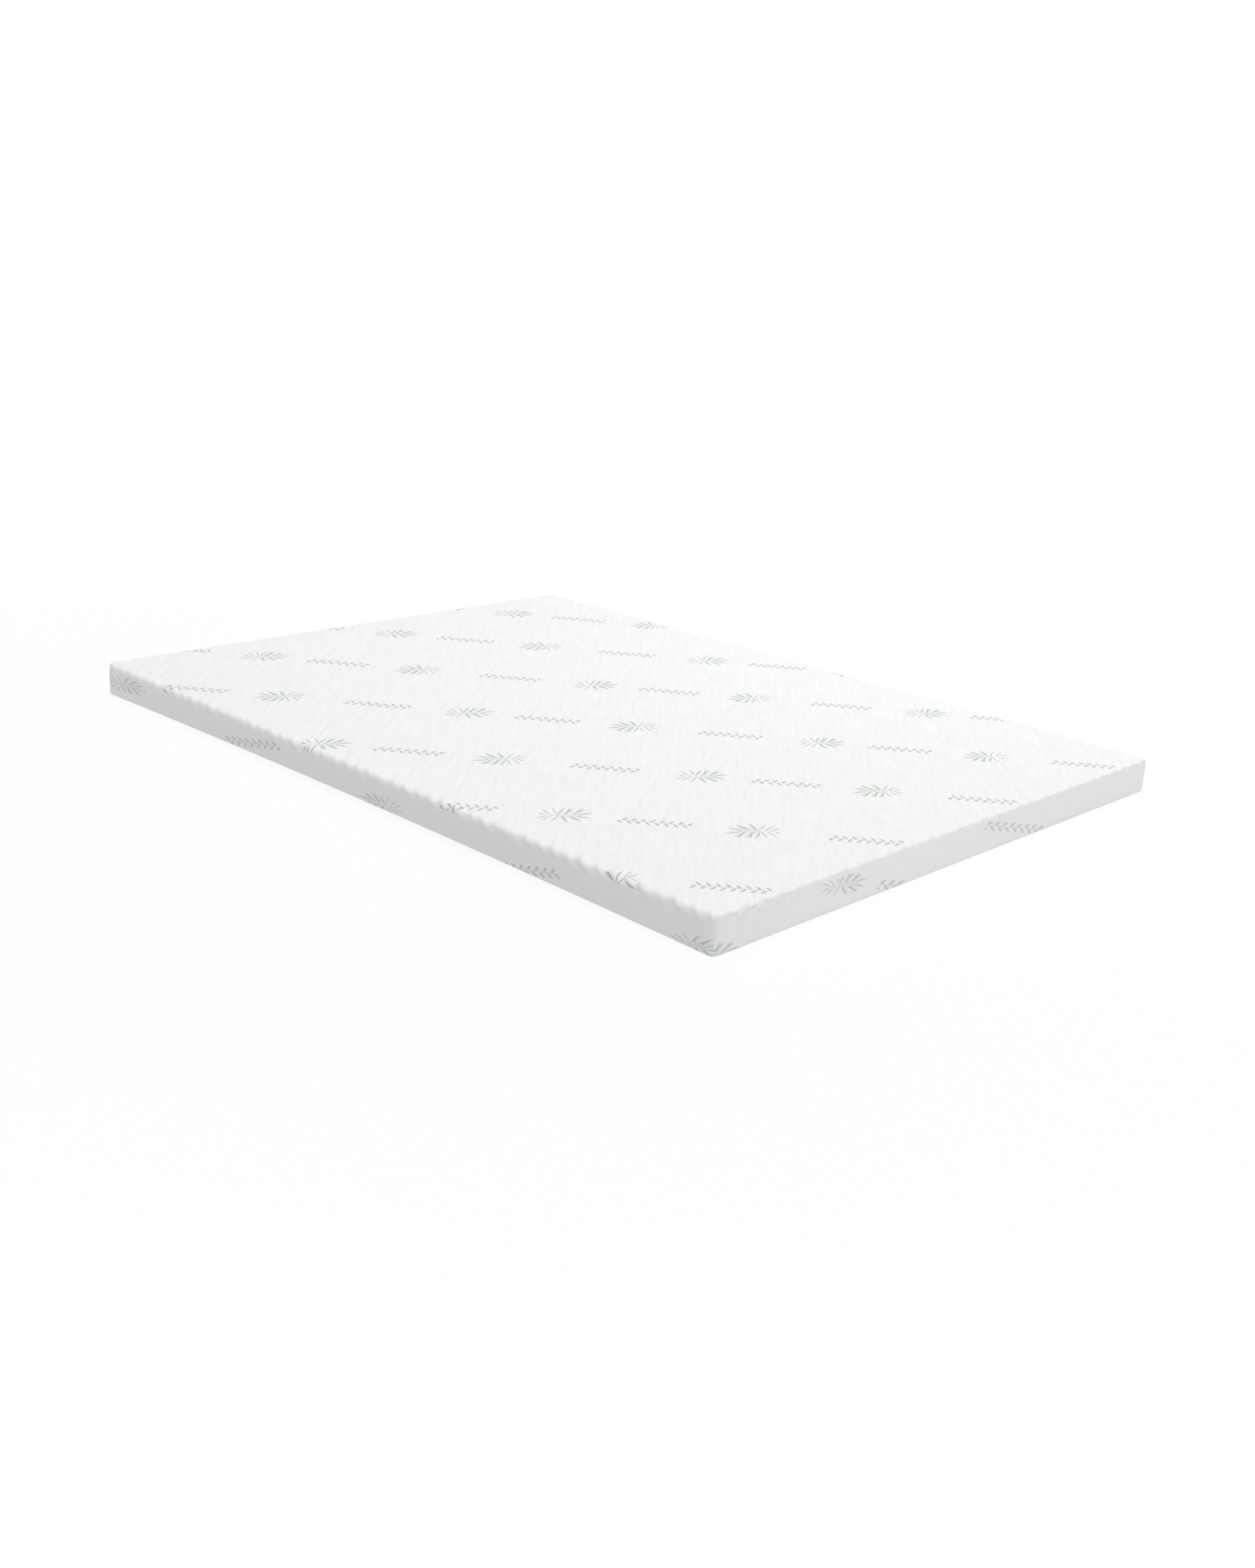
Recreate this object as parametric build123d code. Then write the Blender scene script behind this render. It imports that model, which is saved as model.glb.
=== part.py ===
"""Memory foam mattress: two foam layers in a liner, and a zipped knitted cover. Millimetres.

X runs across the mattress, Y along it and Z up from the middle of its underside.
The zip runs across the +Y end.
"""

import os

from build123d import *

# The mattress in its cover
width = 1530.0
length = 2030.0
height = 80.0
corner_radius = 22.0
top_edge_radius = 11.0
# Each long side's lower edge is drawn in by this much at mid-length
draw_in = 16.0
# The top panel reaches this far below its rounded edge, down to the seam
seam_drop = 2.0

# Cloth and foam
knit_thickness = 2.6
underside_thickness = 1.2
liner_thickness = 0.8
memory_foam_thickness = 30.0
wrap_clearance = 0.3

# Zip: window, tapes and coils
zip_margin = 65.0
tape_thickness = 0.6
tape_seat = 8.0
tape_tail = 12.0
coil_width = 2.6
coil_thickness = 1.8
coil_gap = 1.2
coil_rounding = 0.6
run_clearance = 0.3

# Zip: stops
stop_length = 4.0
stop_margin = 3.0
stop_wall = 0.5

# Zip: slider and its bail
slider_length = 13.0
slider_flange = 0.8
shoulder_flare = 0.9
shoulder_length = 5.0
plate_thickness = 1.0
slider_rounding = 0.35
divider_length = 4.0
bail_radius = 0.75
bail_bend = 1.3

# Zip: pull tab
eye_wall = 1.0
eye_play = 0.5
eye_width = 3.0
tab_thickness = 1.4
tab_width = 7.5
tab_length = 15.0
neck_length = 3.0
tab_end_radius = 3.0
tab_rounding = 0.35

# Levels of the layers, upwards
seam_height = height - top_edge_radius - seam_drop
liner_inset = knit_thickness + wrap_clearance
core_inset = liner_inset + liner_thickness + wrap_clearance
core_floor = underside_thickness + liner_thickness
foam_split = height - core_inset - memory_foam_thickness

# Depths of the zip's layers, outwards through the end wall
end_face = length / 2
back_plate_inner = end_face - knit_thickness
back_plate_outer = back_plate_inner + plate_thickness
tape_inner = back_plate_outer + run_clearance
tape_outer = tape_inner + tape_thickness
coil_outer = tape_outer + coil_thickness
front_plate_inner = coil_outer + run_clearance
front_plate_outer = front_plate_inner + plate_thickness
eye_bore = bail_radius + eye_play
eye_radius = eye_bore + eye_wall
bail_centre = front_plate_outer + run_clearance + eye_radius

# Heights and lengths of the zip's pieces, midway up the border
zip_length = width - 2 * zip_margin
zip_height = (underside_thickness + seam_height) / 2
channel_width = 2 * coil_width + coil_gap + 2 * run_clearance
tail_width = channel_width + 2 * slider_flange
shoulder_width = tail_width + 2 * shoulder_flare
window_height = shoulder_width + 2 * run_clearance
stop_end = zip_length / 2 - stop_margin
coil_end = stop_end - stop_length
slider_rest = coil_end - run_clearance - slider_length / 2
slider_travel = 2 * coil_end - slider_length - 2 * run_clearance
bail_span = eye_width + 2 * run_clearance + 2 * bail_bend


def slab(x_span, y_span, z_span):
    """A box between three pairs of limits."""
    low = [min(span) for span in (x_span, y_span, z_span)]
    size = [max(span) - min(span) for span in (x_span, y_span, z_span)]
    return Pos(*low) * Box(*size, align=(Align.MIN, Align.MIN, Align.MIN))


def outline(inset, level):
    """The cover's plan at a level, set in all round. Its long sides bow in towards the underside."""
    half_width = width / 2 - inset
    half_length = length / 2 - inset
    bow = draw_in * max(0.0, 1 - level / seam_height) ** 2

    def long_side(side):
        ends = [(side * half_width, -side * half_length), (side * half_width, side * half_length)]
        if bow > 0:
            return ThreePointArc(ends[0], (side * (half_width - bow), 0), ends[1])
        return Line(*ends)

    right, left = long_side(1), long_side(-1)
    back = Line(right @ 1, left @ 0)
    front = Line(left @ 1, right @ 0)
    plan = make_face([right, back, left, front])
    return Pos(0, 0, level) * fillet(plan.vertices(), corner_radius - inset)


def skirt(inset, low, high):
    """The sides of the wrapped form between two levels, drawn in towards the underside."""
    return loft([outline(inset, level) for level in (low, (low + high) / 2, high)])


def cap(inset):
    """The wrapped form above the seam, with its rounded top edge."""
    plan = outline(inset, seam_height)
    block = extrude(plan, height - inset - seam_height)
    return fillet(block.edges().group_by(Axis.Z)[-1], top_edge_radius - inset)


def wrapped(inset, floor):
    """The whole form from a floor up to its top, set in all round."""
    return skirt(inset, floor, seam_height) + cap(inset)


def corner_to_corner(x_end, y_end):
    """A prism over one side of the border, mitred at the two corners, for the side at x_end or y_end."""
    reach = corner_radius
    depth = draw_in + corner_radius + knit_thickness
    half_width, half_length = width / 2, length / 2
    outer = [half_width + reach, half_length + reach]
    inner = [half_width - depth, half_length - depth]
    if y_end:
        corners = [(-outer[0], y_end * outer[1]), (outer[0], y_end * outer[1]),
                   (inner[0], y_end * inner[1]), (-inner[0], y_end * inner[1])]
    else:
        corners = [(x_end * outer[0], -outer[1]), (x_end * outer[0], outer[1]),
                   (x_end * inner[0], inner[1]), (x_end * inner[0], -inner[1])]
    return extrude(make_face(Polyline(*corners, close=True)), height)


def at_zip(shape):
    """Moves a piece of the zip up to the zip's centre line."""
    return Pos(0, 0, zip_height) * shape


def make_tape(side):
    """A zip tape: beside its coil at one edge, in the folded hem at the other."""
    reach = zip_length / 2 + tape_tail
    heights = (side * coil_gap / 2, side * (window_height / 2 + tape_seat))
    return at_zip(slab((-reach, reach), (tape_inner, tape_outer), heights))


def make_coil(side):
    """A nylon coil, as a bar with a rounded back that lies on its tape."""
    heights = (side * coil_gap / 2, side * (coil_gap / 2 + coil_width))
    bar = slab((-coil_end, coil_end), (tape_outer, coil_outer), heights)
    back_edges = bar.edges().filter_by(Axis.X).group_by(Axis.Y)[-1]
    return at_zip(fillet(back_edges, coil_rounding))


def make_stop(x_from, z_from, z_to):
    """A clamp that closes round the end of one or both coils."""
    clamp = slab((x_from, x_from + stop_length), (tape_outer, coil_outer + stop_wall), (z_from, z_to))
    return at_zip(fillet(clamp.edges().group_by(Axis.Y)[-1], stop_wall))


def make_slider():
    """Two plates joined by a divider that runs in the gap between the coils, with a bail in front."""
    tail_x = -slider_length / 2
    nose_x = slider_length / 2
    shoulder_x = nose_x - shoulder_length
    half = [(tail_x, tail_width / 2), (shoulder_x, tail_width / 2),
            (nose_x - shoulder_flare, shoulder_width / 2), (nose_x, shoulder_width / 2 - shoulder_flare)]
    profile = make_face(Polyline(*half, *[(x, -z) for x, z in reversed(half)], close=True))
    profile = fillet(profile.vertices(), slider_flange)
    upright = Plane(origin=(0, 0, 0), x_dir=(1, 0, 0), z_dir=(0, -1, 0))

    def plate(y_from, y_to):
        return Pos(0, y_to, 0) * extrude(upright * profile, y_to - y_from)

    flange_inner = tape_outer + run_clearance
    half_channel = channel_width / 2
    shell = plate(flange_inner, front_plate_outer)
    shell -= slab((tail_x, nose_x), (flange_inner, front_plate_inner), (-half_channel, half_channel))
    shell = fillet(shell.edges().group_by(Axis.Y)[-1], slider_rounding)
    half_divider = coil_gap / 2 - run_clearance
    divider_x = (shoulder_x, shoulder_x + divider_length)
    divider = slab(divider_x, (back_plate_inner, front_plate_outer), (-half_divider, half_divider))
    foot = front_plate_outer - plate_thickness / 2
    arch = [(-bail_span / 2, foot), (-bail_span / 2, bail_centre), (bail_span / 2, bail_centre),
            (bail_span / 2, foot)]
    path = FilletPolyline(*arch, radius=bail_bend)
    bail = sweep(Plane(path @ 0, z_dir=path % 0) * Circle(bail_radius), path)
    return shell + plate(back_plate_inner, back_plate_outer) + divider + bail


def make_pull():
    """A tab that hangs from an eye round the bail."""
    eye = Rotation(0, 90, 0) * (Cylinder(eye_radius, eye_width) - Cylinder(eye_bore, eye_width))
    top = -(eye_bore + eye_wall / 2)
    shoulder = top - neck_length
    tip = shoulder - tab_length
    half = [(eye_width / 2, top), (tab_width / 2, shoulder), (tab_width / 2, tip)]
    face = make_face(Polyline(*half, *[(-x, z) for x, z in reversed(half)], close=True))
    rounded = face.vertices().group_by(Axis.Y)[0]
    face = fillet(rounded, tab_end_radius)
    tab = extrude(Plane.XZ * face, tab_thickness / 2, both=True)
    tab = fillet(tab.edges().filter_by(Plane.XZ), tab_rounding)
    return Pos(0, bail_centre, 0) * (eye + tab)


# Foam core and its liner
liner_hollow = wrapped(liner_inset + liner_thickness, core_floor)
nodes = {
    "base_foam": skirt(core_inset, core_floor, foam_split),
    "memory_foam": wrapped(core_inset, foam_split),
    "inner_liner": wrapped(liner_inset, underside_thickness) - liner_hollow,
}

# Cover: top, sides and underside
border_levels = (underside_thickness, seam_height)
border = skirt(0, *border_levels) - skirt(knit_thickness, *border_levels)
nodes["cover_top"] = cap(0) - cap(knit_thickness)
nodes["cover_bottom"] = skirt(0, 0, underside_thickness)
nodes["border_left"] = border & corner_to_corner(-1, 0)
nodes["border_right"] = border & corner_to_corner(1, 0)
nodes["border_front"] = border & corner_to_corner(0, -1)

# Zip end of the cover: two strips whose folded hems hold the tapes
tapes = {"upper": make_tape(1), "lower": make_tape(-1)}
end_wall = border & corner_to_corner(0, 1)
half_zip, half_window = zip_length / 2, window_height / 2
window = slab((-half_zip, half_zip), (back_plate_inner, end_face), (-half_window, half_window))
end_wall -= at_zip(window)
end_wall -= tapes["upper"] + tapes["lower"]
above_zip = Plane.XY.offset(zip_height)
nodes["zip_panel_upper"] = split(end_wall, bisect_by=above_zip, keep=Keep.TOP)
nodes["zip_panel_lower"] = split(end_wall, bisect_by=above_zip, keep=Keep.BOTTOM)

# Zip
stop_half = coil_gap / 2 + coil_width + stop_wall
nodes["zip_tape_upper"] = tapes["upper"]
nodes["zip_tape_lower"] = tapes["lower"]
nodes["zip_coil_upper"] = make_coil(1)
nodes["zip_coil_lower"] = make_coil(-1)
stop_spans = [(coil_gap / 2, stop_half), (-stop_half, -coil_gap / 2)]
nodes["zip_top_stops"] = Compound([make_stop(coil_end, *span).solid() for span in stop_spans])
nodes["zip_bottom_stop"] = make_stop(-stop_end, -stop_half, stop_half)
nodes["zip_slider"] = Pos(slider_rest, 0, zip_height) * make_slider()
nodes["zip_pull"] = Pos(slider_rest, 0, zip_height) * make_pull()

os.makedirs("parts", exist_ok=True)
for name, shape in nodes.items():
    shape.label = name
    export_step(shape, f"parts/{name}.step")
    print(f"{name}: {len(shape.solids())} solid, {shape.volume / 1000:.2f} cm3")
print(f"zip travel {slider_travel:.1f} mm")
print(f"pull turns about X at {slider_rest:.1f}, {bail_centre:.2f}, {zip_height:.1f}")
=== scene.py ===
import bpy
import bmesh
import math
from mathutils import Matrix, Vector


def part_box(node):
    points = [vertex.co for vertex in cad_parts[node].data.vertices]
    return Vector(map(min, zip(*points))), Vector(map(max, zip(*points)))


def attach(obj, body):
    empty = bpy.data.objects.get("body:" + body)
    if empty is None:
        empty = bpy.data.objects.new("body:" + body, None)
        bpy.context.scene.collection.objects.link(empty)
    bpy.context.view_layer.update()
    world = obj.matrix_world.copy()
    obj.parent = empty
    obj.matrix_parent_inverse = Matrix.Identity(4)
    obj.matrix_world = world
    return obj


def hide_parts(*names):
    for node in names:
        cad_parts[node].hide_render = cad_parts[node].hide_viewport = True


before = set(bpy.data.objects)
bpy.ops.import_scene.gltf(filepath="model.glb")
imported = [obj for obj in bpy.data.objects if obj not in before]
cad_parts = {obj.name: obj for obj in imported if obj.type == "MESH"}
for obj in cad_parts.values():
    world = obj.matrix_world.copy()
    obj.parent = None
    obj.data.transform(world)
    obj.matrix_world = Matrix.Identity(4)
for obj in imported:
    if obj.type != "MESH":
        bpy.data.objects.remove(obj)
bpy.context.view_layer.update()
scene = bpy.context.scene
scene.view_settings.view_transform = "Standard"
mm = 0.001

# The form that the cover is cut to, read off the frame
coverLow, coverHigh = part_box("cover_top")
form = {
    "halfWidth": coverHigh.x,
    "halfLength": coverHigh.y,
    "top": coverHigh.z,
    "seam": coverLow.z,                  # where the top panel meets the border
    "floor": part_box("cover_bottom")[1].z,
    "cornerRadius": 15 * mm,
    "edgeRadius": 14 * mm,               # roll of the top edge
    "footRadius": 4 * mm,                # roll of the bottom edge
    "drawIn": 16 * mm,                   # bow of the long sides at the underside
    "knit": 2.6 * mm,
}


# Shader sums: a socket that Python operators work on

class Wire:
    def __init__(self, tree, socket=None):
        self.tree = tree
        self.socket = socket

    def add(self, kind, settings=None, sockets=None, out=0):
        made = self.tree.nodes.new(kind)
        for name, value in (settings or {}).items():
            setattr(made, name, value)
        for name, value in (sockets or {}).items():
            if isinstance(value, Wire):
                self.tree.links.new(value.socket, made.inputs[name])
            else:
                made.inputs[name].default_value = value
        return Wire(self.tree, made.outputs[out])

    def maths(self, operation, *others):
        return self.add("ShaderNodeMath", {"operation": operation}, dict(enumerate((self,) + others)))

    def flipped(self, operation, other):
        return self.add("ShaderNodeMath", {"operation": operation}, {0: other, 1: self})

    def __add__(self, other):
        return self.maths("ADD", other)

    def __radd__(self, other):
        return self.maths("ADD", other)

    def __sub__(self, other):
        return self.maths("SUBTRACT", other)

    def __rsub__(self, other):
        return self.flipped("SUBTRACT", other)

    def __mul__(self, other):
        return self.maths("MULTIPLY", other)

    def __rmul__(self, other):
        return self.maths("MULTIPLY", other)

    def __neg__(self):
        return self.maths("MULTIPLY", -1.0)

    def __truediv__(self, other):
        return self.maths("DIVIDE", other)

    def __rtruediv__(self, other):
        return self.flipped("DIVIDE", other)

    def __abs__(self):
        return self.maths("ABSOLUTE")

    def floor(self):
        return self.maths("FLOOR")

    def wrap(self, size):
        return self.maths("FLOORED_MODULO", size)

    def atLeast(self, other):
        return self.maths("MAXIMUM", other)

    def atMost(self, other):
        return self.maths("MINIMUM", other)

    def below(self, other):
        return self.maths("LESS_THAN", other)

    def wave(self):
        return self.maths("SINE")

    def held(self):
        return self.add("ShaderNodeClamp", None, {"Value": self})

    def tint(self, dark, light):
        return self.add("ShaderNodeMix", {"data_type": "RGBA"}, {0: self, 6: dark, 7: light}, 2)


def newMaterial(name, roughness, sheen=0.0, metallic=0.0):
    material = bpy.data.materials.new(name)
    material.use_nodes = True
    shader = material.node_tree.nodes["Principled BSDF"]
    shader.inputs["Roughness"].default_value = roughness
    shader.inputs["Metallic"].default_value = metallic
    shader.inputs["Sheen Weight"].default_value = sheen
    return material, shader, Wire(material.node_tree)


def plug(wire, shader, socket):
    wire.tree.links.new(wire.socket, shader.inputs[socket])


def bump(wires, shader, height, strength, distance):
    sockets = {"Strength": strength, "Distance": distance, "Height": height}
    plug(wires.add("ShaderNodeBump", None, sockets), shader, "Normal")


def clothPlace(wires):
    return wires.add("ShaderNodeUVMap", {"uv_map": "cloth"})


def solidPlace(wires):
    return wires.add("ShaderNodeTexCoord", out="Object")


def axesOf(wires, place, axes):
    return [wires.add("ShaderNodeSeparateXYZ", None, {0: place}, axis) for axis in axes]


def noise(wires, place, rate, detail=2.0, roughness=0.5):
    scaled = wires.add("ShaderNodeVectorMath", {"operation": "MULTIPLY"}, {0: place, 1: rate})
    sockets = {"Vector": scaled, "Scale": 1.0, "Detail": detail, "Roughness": roughness}
    return wires.add("ShaderNodeTexNoise", None, sockets)


# Leaf print: sprigs and leaf chains in rows

leafPrint = {
    "line": (0.360, 0.450, 0.375, 1),    # ink of the drawn lines
    "wash": (0.690, 0.770, 0.695, 1),    # paler ink inside the leaves
    "lineEdge": 2.5,                     # more is crisper
    "washEdge": 4,
    "stalk": ((-24, -10), (40, 4)),      # mm, foot and head
    "stalkWidth": 2.2 * mm,
    "stalkTaper": 6,                     # more is blunter
    "leaves": (                          # along the stalk, angle, length in mm
        (0.40, 64, 40), (0.46, -58, 42), (0.55, 44, 46), (0.60, -80, 34), (0.66, -36, 48),
        (0.72, 74, 38), (0.80, 30, 48), (0.84, -54, 40), (0.92, -22, 46), (0.96, 52, 38),
        (1.00, 8, 48),
    ),
    "leafWidth": 10.4 * mm,
    "lineWidth": 0.44,                   # share of the leaf
    "lineOff": 0.45,                     # how far the line lies to one side of the leaf
    "blades": (                          # foot in mm, angle, length in mm
        (-21, -9, 160, 30), (-21, -9, 212, 32), (-12, -7, 138, 40), (-8, -6, 228, 40),
        (2, -4, 122, 40), (5, -3, 246, 38),
    ),
    "bladeWidth": 4.4 * mm,
    "chainLeaves": 8,                    # on each side of the stem
    "chainStep": 18.5 * mm,
    "chainLeaf": (19 * mm, 8.0 * mm, 52),  # length, width, lean
    "chainStem": 2.0 * mm,
    "stemTaper": 0.1,                    # share of the stem
}


def turnedAxes(x, y, angle):
    c, s = math.cos(angle), math.sin(angle)
    return x * c + y * s, y * c - x * s


def leafAxes(u, v, base, angle, length, width):
    c, s = math.cos(math.radians(angle)), math.sin(math.radians(angle))
    along = u * (c / length) + v * (s / length) - (base[0] * c + base[1] * s) / length
    across = v * (2 * c / width) - u * (2 * s / width) - (base[1] * c - base[0] * s) * 2 / width
    return along * (1 - along) * 4, across


def sprigMasks(u, v):
    foot, head = [Vector(end) * mm for end in leafPrint["stalk"]]
    run = head - foot
    lean = math.degrees(math.atan2(run.y, run.x))
    arch, across = leafAxes(u, v, foot, lean, run.length, leafPrint["stalkWidth"])
    lines = (arch * leafPrint["stalkTaper"]).held() - abs(across)
    wash = None
    for station, angle, length in leafPrint["leaves"]:
        base = foot + run * station
        arch, across = leafAxes(u, v, base, lean + angle, length * mm, leafPrint["leafWidth"])
        leaf = arch - abs(across)
        side = math.copysign(leafPrint["lineOff"], angle)
        stroke = arch - abs(across - arch * side) / leafPrint["lineWidth"]
        wash = leaf if wash is None else wash.atLeast(leaf)
        lines = lines.atLeast(stroke)
    for x, y, angle, length in leafPrint["blades"]:
        base = (x * mm, y * mm)
        arch, across = leafAxes(u, v, base, angle, length * mm, leafPrint["bladeWidth"])
        lines = lines.atLeast(arch - abs(across))
    return lines, wash


def chainMask(u, v):
    length, width, lean = leafPrint["chainLeaf"]
    step = leafPrint["chainStep"]
    reach = leafPrint["chainLeaves"] * step / 2
    taper = leafPrint["stemTaper"]
    staggered = u + v.below(0.0) * (step / 2)
    arch, across = leafAxes(staggered.wrap(step), abs(v), (0, 0), lean, length, width)
    paired = abs(staggered).below(reach)
    leaves = (arch - abs(across)) * paired + (paired - 1)
    stem = (1 - abs(u + step / 4) / reach).atMost(taper) * (1 / taper)
    stem = stem - abs(v) * (2 / leafPrint["chainStem"])
    return leaves.atLeast(stem)


def printMasks(u, v, layout):
    u, v = turnedAxes(u, v, layout["rowLean"])
    row = (v / layout["rowPitch"] + 0.5).floor().atMost(layout["lastRow"])
    v = v - row * layout["rowPitch"]
    u = u - row * layout["rowShift"]
    count = (u / layout["pitch"] + 0.5).floor()
    u = u - count * layout["pitch"]
    turned = (count + layout["turn"]).wrap(4.0).below(1.5) * -2 + 1  # two of every four are upside down
    u, v = turnedAxes(u * turned, v * turned, layout["lean"])
    chain = count.wrap(2.0).below(0.5)   # every second one
    sprigWide, sprigTall = layout["sprigScale"]
    lines, wash = sprigMasks(u / sprigWide, v / sprigTall)
    chainWide, chainTall = layout["chainScale"]
    links = chainMask(u / chainWide, v / chainTall)
    lines = lines + (links - lines) * chain
    wash = wash * (1 - chain) - chain
    return (lines * leafPrint["lineEdge"]).held(), (wash * leafPrint["washEdge"]).held()


# Knitted cloth

knit = {
    "roughness": 0.92,
    "wale": 2.1 * mm,                    # width of a column of loops
    "course": 1.5 * mm,                  # height of a row of loops
    "courseWave": 0.8,
    "streaksAndValleyShade": ((95, 10, 1), 4.0, 0.62),  # rate, detail and roughness of the noise, which raises the streaks and also paints shade into their valleys
    "puffs": ((62, 20, 1), 1.0),
    "heights": (0.10, 0.06, 2.2, 1.6),   # of wales, courses, streaks and puffs
    "ground": ((0.806, 0.809, 0.804, 1), (0.994, 0.996, 0.994, 1)),
    "wearRate": (900, 900, 1),           # of the loops that the ink misses
    "wear": (0.8, 0.5),                  # share of that noise, and the least ink
    "printedSheen": 0.2,
    "printedBump": (0.35, 1.2 * mm),
    "plainSheen": 0.1,
    "plainBump": (0.4, 1.0 * mm),
}


def knitHeight(wires, place):
    u, v = axesOf(wires, place, "XY")
    wales = (u * (2 * math.pi / knit["wale"])).wave()
    courses = (v * (2 * math.pi / knit["course"]) + wales * knit["courseWave"]).wave()
    streaksAndValleyShade = noise(wires, place, *knit["streaksAndValleyShade"])
    puffs = noise(wires, place, *knit["puffs"])
    waleHigh, courseHigh, streakHigh, puffHigh = knit["heights"]
    height = wales * waleHigh + courses * courseHigh + streaksAndValleyShade * streakHigh + puffs * puffHigh
    return height, streaksAndValleyShade


def makePrintedKnit(name, layout):
    material, shader, wires = newMaterial(name, knit["roughness"], sheen=knit["printedSheen"])
    place = clothPlace(wires)
    u, v = axesOf(wires, place, "XY")
    turned = {"Vector": place, "Rotation": (0, 0, layout["grain"])}
    height, streaksAndValleyShade = knitHeight(wires, wires.add("ShaderNodeMapping", None, turned))
    share, least = knit["wear"]
    worn = (noise(wires, place, knit["wearRate"]) * share + least).held()
    lines, wash = printMasks(u, v, layout)
    contrast = layout["streaksAndValleyShade"]
    # the ground colour follows the bump's streak noise: partly a random tone of the knit, partly
    # painted shade that darkens the valleys
    colour = (streaksAndValleyShade * contrast + (1 - contrast) / 2).tint(*knit["ground"])
    colour = (wash * worn * layout["ink"]).tint(colour, leafPrint["wash"])
    colour = (lines * worn * layout["ink"]).tint(colour, leafPrint["line"])
    plug(colour, shader, "Base Color")
    bump(wires, shader, height, *knit["printedBump"])
    return material


def makePlainKnit(name, dark, light):
    material, shader, wires = newMaterial(name, knit["roughness"], sheen=knit["plainSheen"])
    height, streaksAndValleyShade = knitHeight(wires, clothPlace(wires))
    # the colour follows the bump's streak noise: partly a random tone of the knit, partly painted shade
    # that darkens the valleys
    plug(streaksAndValleyShade.tint(dark, light), shader, "Base Color")
    bump(wires, shader, height, *knit["plainBump"])
    return material


# The other finishes

foamLook = {
    "roughness": 0.95,
    "cells": ((700, 700, 700), 3.0, 0.6),
    "clouds": ((9, 9, 9), 2.0),
    "cellShare": 0.6,                    # of the colour, against the clouds
    "bump": (0.5, 0.8 * mm),
}

weaveLook = {
    "roughness": 0.8,
    "sheen": 0.1,
    "pitch": 0.9 * mm,
    "zigzag": 4,                         # pitches
    "bump": (0.5, 0.2 * mm),
}

nylonLook = {
    "drawn": ((300, 2500, 2500), 2.0),
    "dull": 0.9,                         # darkest share of the colour
    "roughness": (0.26, 0.2),            # least, and what the drawn streaks add
}

threadLook = {"roughness": 0.7, "sheen": 0.1, "ply": 0.5 * mm, "bump": (0.4, 0.1 * mm)}

nickelLook = {
    "brushed": ((400, 3000, 3000), 2.0),
    "spots": ((220, 220, 220), 3.0),
    "greys": ((0.52, 0.51, 0.50, 1), (0.72, 0.71, 0.69, 1)),
    "roughness": (0.16, 0.22, 0.12),     # least, and what the brushing and the spots add
    "bump": (0.12, 0.05 * mm),
}


def makeFoam(name, dark, light):
    material, shader, wires = newMaterial(name, foamLook["roughness"])
    place = solidPlace(wires)
    cells = noise(wires, place, *foamLook["cells"])
    clouds = noise(wires, place, *foamLook["clouds"])
    share = foamLook["cellShare"]
    plug((cells * share + clouds * (1 - share)).tint(dark, light), shader, "Base Color")
    bump(wires, shader, cells, *foamLook["bump"])
    return material


def makeWoven(name, dark, light):
    material, shader, wires = newMaterial(name, weaveLook["roughness"], sheen=weaveLook["sheen"])
    x, z = axesOf(wires, solidPlace(wires), "XZ")
    turn = 2 * math.pi / weaveLook["pitch"]
    wide = weaveLook["zigzag"] * weaveLook["pitch"]
    zigzag = abs((x / wide).wrap(1.0) - 0.5) * wide
    twill = ((z + zigzag) * turn).wave() * 0.5 + 0.5
    plug(twill.tint(dark, light), shader, "Base Color")
    bump(wires, shader, twill, *weaveLook["bump"])
    return material


def makeNylon(name, colour):
    least, more = nylonLook["roughness"]
    material, shader, wires = newMaterial(name, least)
    drawn = noise(wires, solidPlace(wires), *nylonLook["drawn"])
    dull = tuple(part * nylonLook["dull"] for part in colour[:3]) + (1,)
    plug(drawn.tint(dull, colour), shader, "Base Color")
    plug(drawn * more + least, shader, "Roughness")
    return material


def makeThread(name, dark, light):
    material, shader, wires = newMaterial(name, threadLook["roughness"], sheen=threadLook["sheen"])
    x, z = axesOf(wires, solidPlace(wires), "XZ")
    ply = ((x + z) * (2 * math.pi / threadLook["ply"])).wave() * 0.5 + 0.5
    plug(ply.tint(dark, light), shader, "Base Color")
    bump(wires, shader, ply, *threadLook["bump"])
    return material


def makeNickel(name):
    least, brushing, spotting = nickelLook["roughness"]
    material, shader, wires = newMaterial(name, least, metallic=1.0)
    place = solidPlace(wires)
    brushed = noise(wires, place, *nickelLook["brushed"])
    spots = noise(wires, place, *nickelLook["spots"])
    plug(spots.tint(*nickelLook["greys"]), shader, "Base Color")
    plug(brushed * brushing + spots * spotting + least, shader, "Roughness")
    bump(wires, shader, brushed, *nickelLook["bump"])
    return material


# Where the print's motifs stand; turn picks the ones that are upside down
topLayout = {
    "pitch": 201 * mm,                   # from motif to motif along a row
    "rowPitch": 323 * mm,
    "rowShift": 252 * mm,                # each row against the one before
    "rowLean": 0.0,
    "lastRow": 99,
    "turn": 1,
    "sprigScale": (0.84, 1.30),
    "chainScale": (1.0, 1.2),
    "lean": 0.0,
    "ink": 0.80,
    "streaksAndValleyShade": 1.0,                      # contrast of the knit's streaks in the colour: partly a random tone, partly painted shade in the bump's valleys
    "grain": math.radians(-2.5),
}
borderLayout = dict(
    topLayout, pitch=468 * mm, rowPitch=320 * mm, rowShift=160 * mm, sprigScale=(1.16, 0.62),
    chainScale=(1.40, 0.80), lean=math.radians(-13), ink=0.60, streaksAndValleyShade=0.3, grain=0.0)
frontLayout = dict(
    borderLayout, pitch=262 * mm, rowPitch=132 * mm, rowShift=343 * mm, rowLean=math.radians(-14.5),
    lastRow=1, turn=3, sprigScale=(1.10, 0.66), chainScale=(1.70, 0.76), lean=0.0)

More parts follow.
